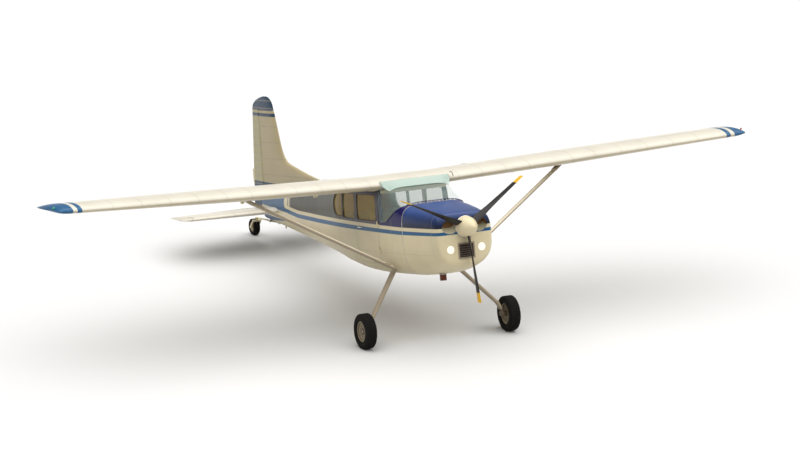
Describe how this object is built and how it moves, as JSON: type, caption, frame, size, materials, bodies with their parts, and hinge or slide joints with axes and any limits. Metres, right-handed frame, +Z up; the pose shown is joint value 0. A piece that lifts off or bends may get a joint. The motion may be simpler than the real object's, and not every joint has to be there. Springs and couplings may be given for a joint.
{
  "type": "light aircraft",
  "caption": "Single-engine high-wing light aircraft with lift struts, a hollow windowed cabin, moving control surfaces, opening doors and tail-wheel landing gear.",
  "frame": {"origin": "ground point under the middle of the overall box, as parked", "axes": "+X to the aircraft's left (port) wing tip, +Y towards the tail, +Z up"},
  "size_m": [10.9214, 7.8471, 2.5351],
  "materials": {
    "cream_paint": "gloss",
    "blue_paint": "gloss",
    "navy_paint": "gloss",
    "black_paint": "satin",
    "tinted_glass": "clear",
    "tyre_rubber": "matte",
    "tan_hub": "satin",
    "bare_steel": "brushed",
    "engine_metal": "cast",
    "exhaust_steel": "rusty",
    "lamp_glass": "clear",
    "grille_bronze": "satin",
    "orange_trim": "matte",
    "seat_fabric": "matte",
    "black_plastic": "matte"
  },
  "bodies": {
    "airframe": {"cabin_floor": "orange_trim", "cabin_shell": "navy_paint", "control_yoke_left": "black_plastic", "control_yoke_right": "black_plastic", "engine_block": "engine_metal", "engine_cowling": "cream_paint", "exhaust_pipe": "exhaust_steel", "fin": "cream_paint", "firewall": "bare_steel", "front_seat": "seat_fabric", "gear_leg_left": "cream_paint", "gear_leg_right": "cream_paint", "instrument_panel": "black_plastic", "intake_grille": "grille_bronze", "landing_light_left": "lamp_glass", "landing_light_right": "lamp_glass", "lift_strut_left": "cream_paint", "lift_strut_right": "cream_paint", "mid_window_left": "tinted_glass", "mid_window_right": "tinted_glass", "middle_seat": "seat_fabric", "rear_seat": "seat_fabric", "rear_window_left": "tinted_glass", "rear_window_right": "tinted_glass", "stabiliser_left": "cream_paint", "stabiliser_right": "cream_paint", "tail_cone": "cream_paint", "tail_spring": "bare_steel", "windshield": "tinted_glass", "wing_centre_section": "cream_paint", "wing_left": "cream_paint", "wing_right": "cream_paint", "wing_tip_left": "blue_paint", "wing_tip_right": "blue_paint"},
    "propeller": {"spinner": "cream_paint", "blade_1": "black_paint", "blade_2": "black_paint", "blade_3": "black_paint"},
    "left_main_wheel": {"main_tyre_left": "tyre_rubber", "main_hub_left": "tan_hub"},
    "right_main_wheel": {"main_tyre_right": "tyre_rubber", "main_hub_right": "tan_hub"},
    "tail_wheel_fork": {"tail_wheel_fork": "cream_paint"},
    "tail_wheel": {"tail_tyre": "tyre_rubber", "tail_hub": "tan_hub"},
    "rudder": {"rudder": "cream_paint"},
    "elevator": {"elevator_left": "cream_paint", "elevator_right": "cream_paint", "elevator_torque_tube": "bare_steel"},
    "left_aileron": {"aileron_left": "cream_paint"},
    "right_aileron": {"aileron_right": "cream_paint"},
    "left_flap": {"flap_left": "cream_paint"},
    "right_flap": {"flap_right": "cream_paint"},
    "left_door": {"door_left": "cream_paint", "door_window_left": "tinted_glass"},
    "right_door": {"door_right": "cream_paint", "door_window_right": "tinted_glass"}
  },
  "joints": [
    {"name": "propeller_spin", "type": "hinge", "parent": "airframe", "child": "propeller", "pos_m": [0, -3.65563, 1.90769], "axis": [0, 0.9816, -0.1911], "continuous": true},
    {"name": "left_main_wheel_spin", "type": "hinge", "parent": "airframe", "child": "left_main_wheel", "pos_m": [1.137, -2.66515, 0.255], "axis": [1, 0, 0], "continuous": true},
    {"name": "right_main_wheel_spin", "type": "hinge", "parent": "airframe", "child": "right_main_wheel", "pos_m": [-1.137, -2.66515, 0.255], "axis": [1, 0, 0], "continuous": true},
    {"name": "tail_wheel_swivel", "type": "hinge", "parent": "airframe", "child": "tail_wheel_fork", "pos_m": [0, 3.69967, 0.27886], "axis": [0, 0, 1], "continuous": true},
    {"name": "tail_wheel_spin", "type": "hinge", "parent": "tail_wheel_fork", "child": "tail_wheel", "pos_m": [0, 3.80157, 0.122], "axis": [1, 0, 0], "continuous": true},
    {"name": "rudder_hinge", "type": "hinge", "parent": "airframe", "child": "rudder", "pos_m": [0, 3.33223, 0.54751], "axis": [0, 0.1911, 0.9816], "range_deg": [-24, 24]},
    {"name": "elevator_hinge", "type": "hinge", "parent": "airframe", "child": "elevator", "pos_m": [0, 3.18409, 0.56107], "axis": [1, 0, 0], "range_deg": [-20, 26]},
    {"name": "left_aileron_hinge", "type": "hinge", "parent": "airframe", "child": "left_aileron", "pos_m": [2.53458, -0.61817, 1.94157], "axis": [0.9919, -0.1059, 0.0701], "range_deg": [-17.5, 17.5]},
    {"name": "right_aileron_hinge", "type": "hinge", "parent": "airframe", "child": "right_aileron", "pos_m": [-2.53458, -0.61817, 1.94157], "axis": [0.9919, 0.1059, -0.0701], "range_deg": [-17.5, 17.5]},
    {"name": "left_flap_hinge", "type": "hinge", "parent": "airframe", "child": "left_flap", "pos_m": [0.63485, -0.67178, 1.74521], "axis": [-0.9995, -0.0058, -0.0296], "range_deg": [0, 40]},
    {"name": "right_flap_hinge", "type": "hinge", "parent": "airframe", "child": "right_flap", "pos_m": [-0.63485, -0.67178, 1.74521], "axis": [-0.9995, 0.0058, 0.0296], "range_deg": [0, 40]},
    {"name": "left_door_hinge", "type": "hinge", "parent": "airframe", "child": "left_door", "pos_m": [0.5775, -1.8564, 1.55747], "axis": [0, -0.1911, -0.9816], "range_deg": [0, 75]},
    {"name": "right_door_hinge", "type": "hinge", "parent": "airframe", "child": "right_door", "pos_m": [-0.5775, -1.8564, 1.55747], "axis": [0, 0.1911, 0.9816], "range_deg": [0, 75]}
  ],
  "couplings": [
    {"joint": "right_aileron_hinge", "follows": "left_aileron_hinge", "ratio": -1},
    {"joint": "right_flap_hinge", "follows": "left_flap_hinge", "ratio": 1}
  ]
}
